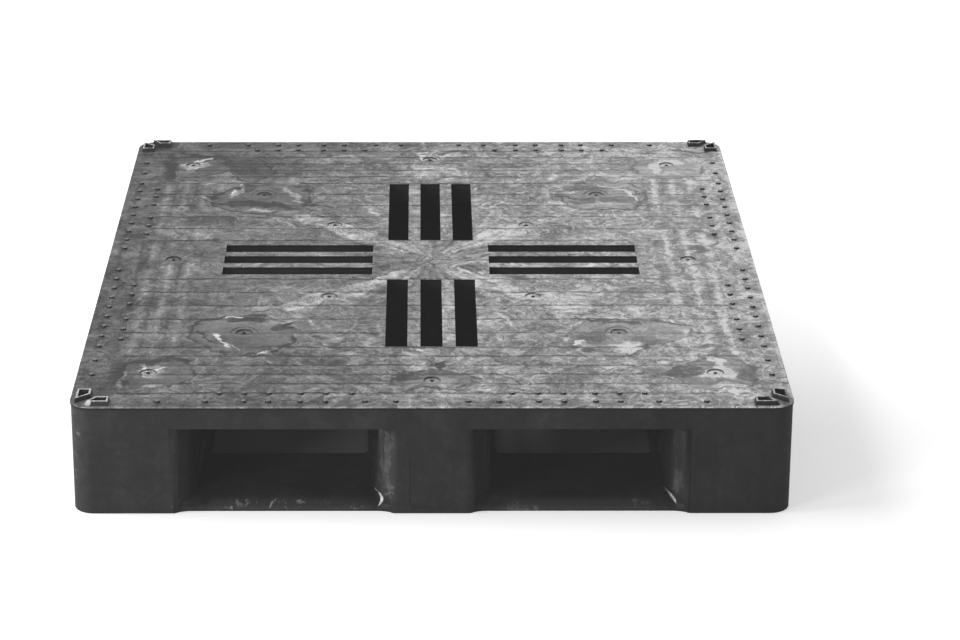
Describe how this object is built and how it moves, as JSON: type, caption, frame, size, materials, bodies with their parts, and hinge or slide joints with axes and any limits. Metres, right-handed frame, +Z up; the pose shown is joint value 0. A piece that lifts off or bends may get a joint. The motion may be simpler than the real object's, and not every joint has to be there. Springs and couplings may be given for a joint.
{
  "type": "plastic pallet",
  "caption": "Closed-deck plastic pallet with perimeter base, four-way fork tunnels, base windows, deck slots, corner lugs and anti-slip pips.",
  "frame": {"origin": "centre of the footprint, on the floor that the base rests on", "axes": "+Z up; X along the 1000 mm width; Y along the 1200 mm depth, with the label panel's face towards -Y"},
  "size_m": [1, 1.2, 0.1665],
  "materials": {
    "moulded_plastic": "dull charcoal moulded skin, with grey flow marks on the deck"
  },
  "bodies": {
    "root": {"pallet_body": "moulded_plastic"}
  },
  "joints": []
}
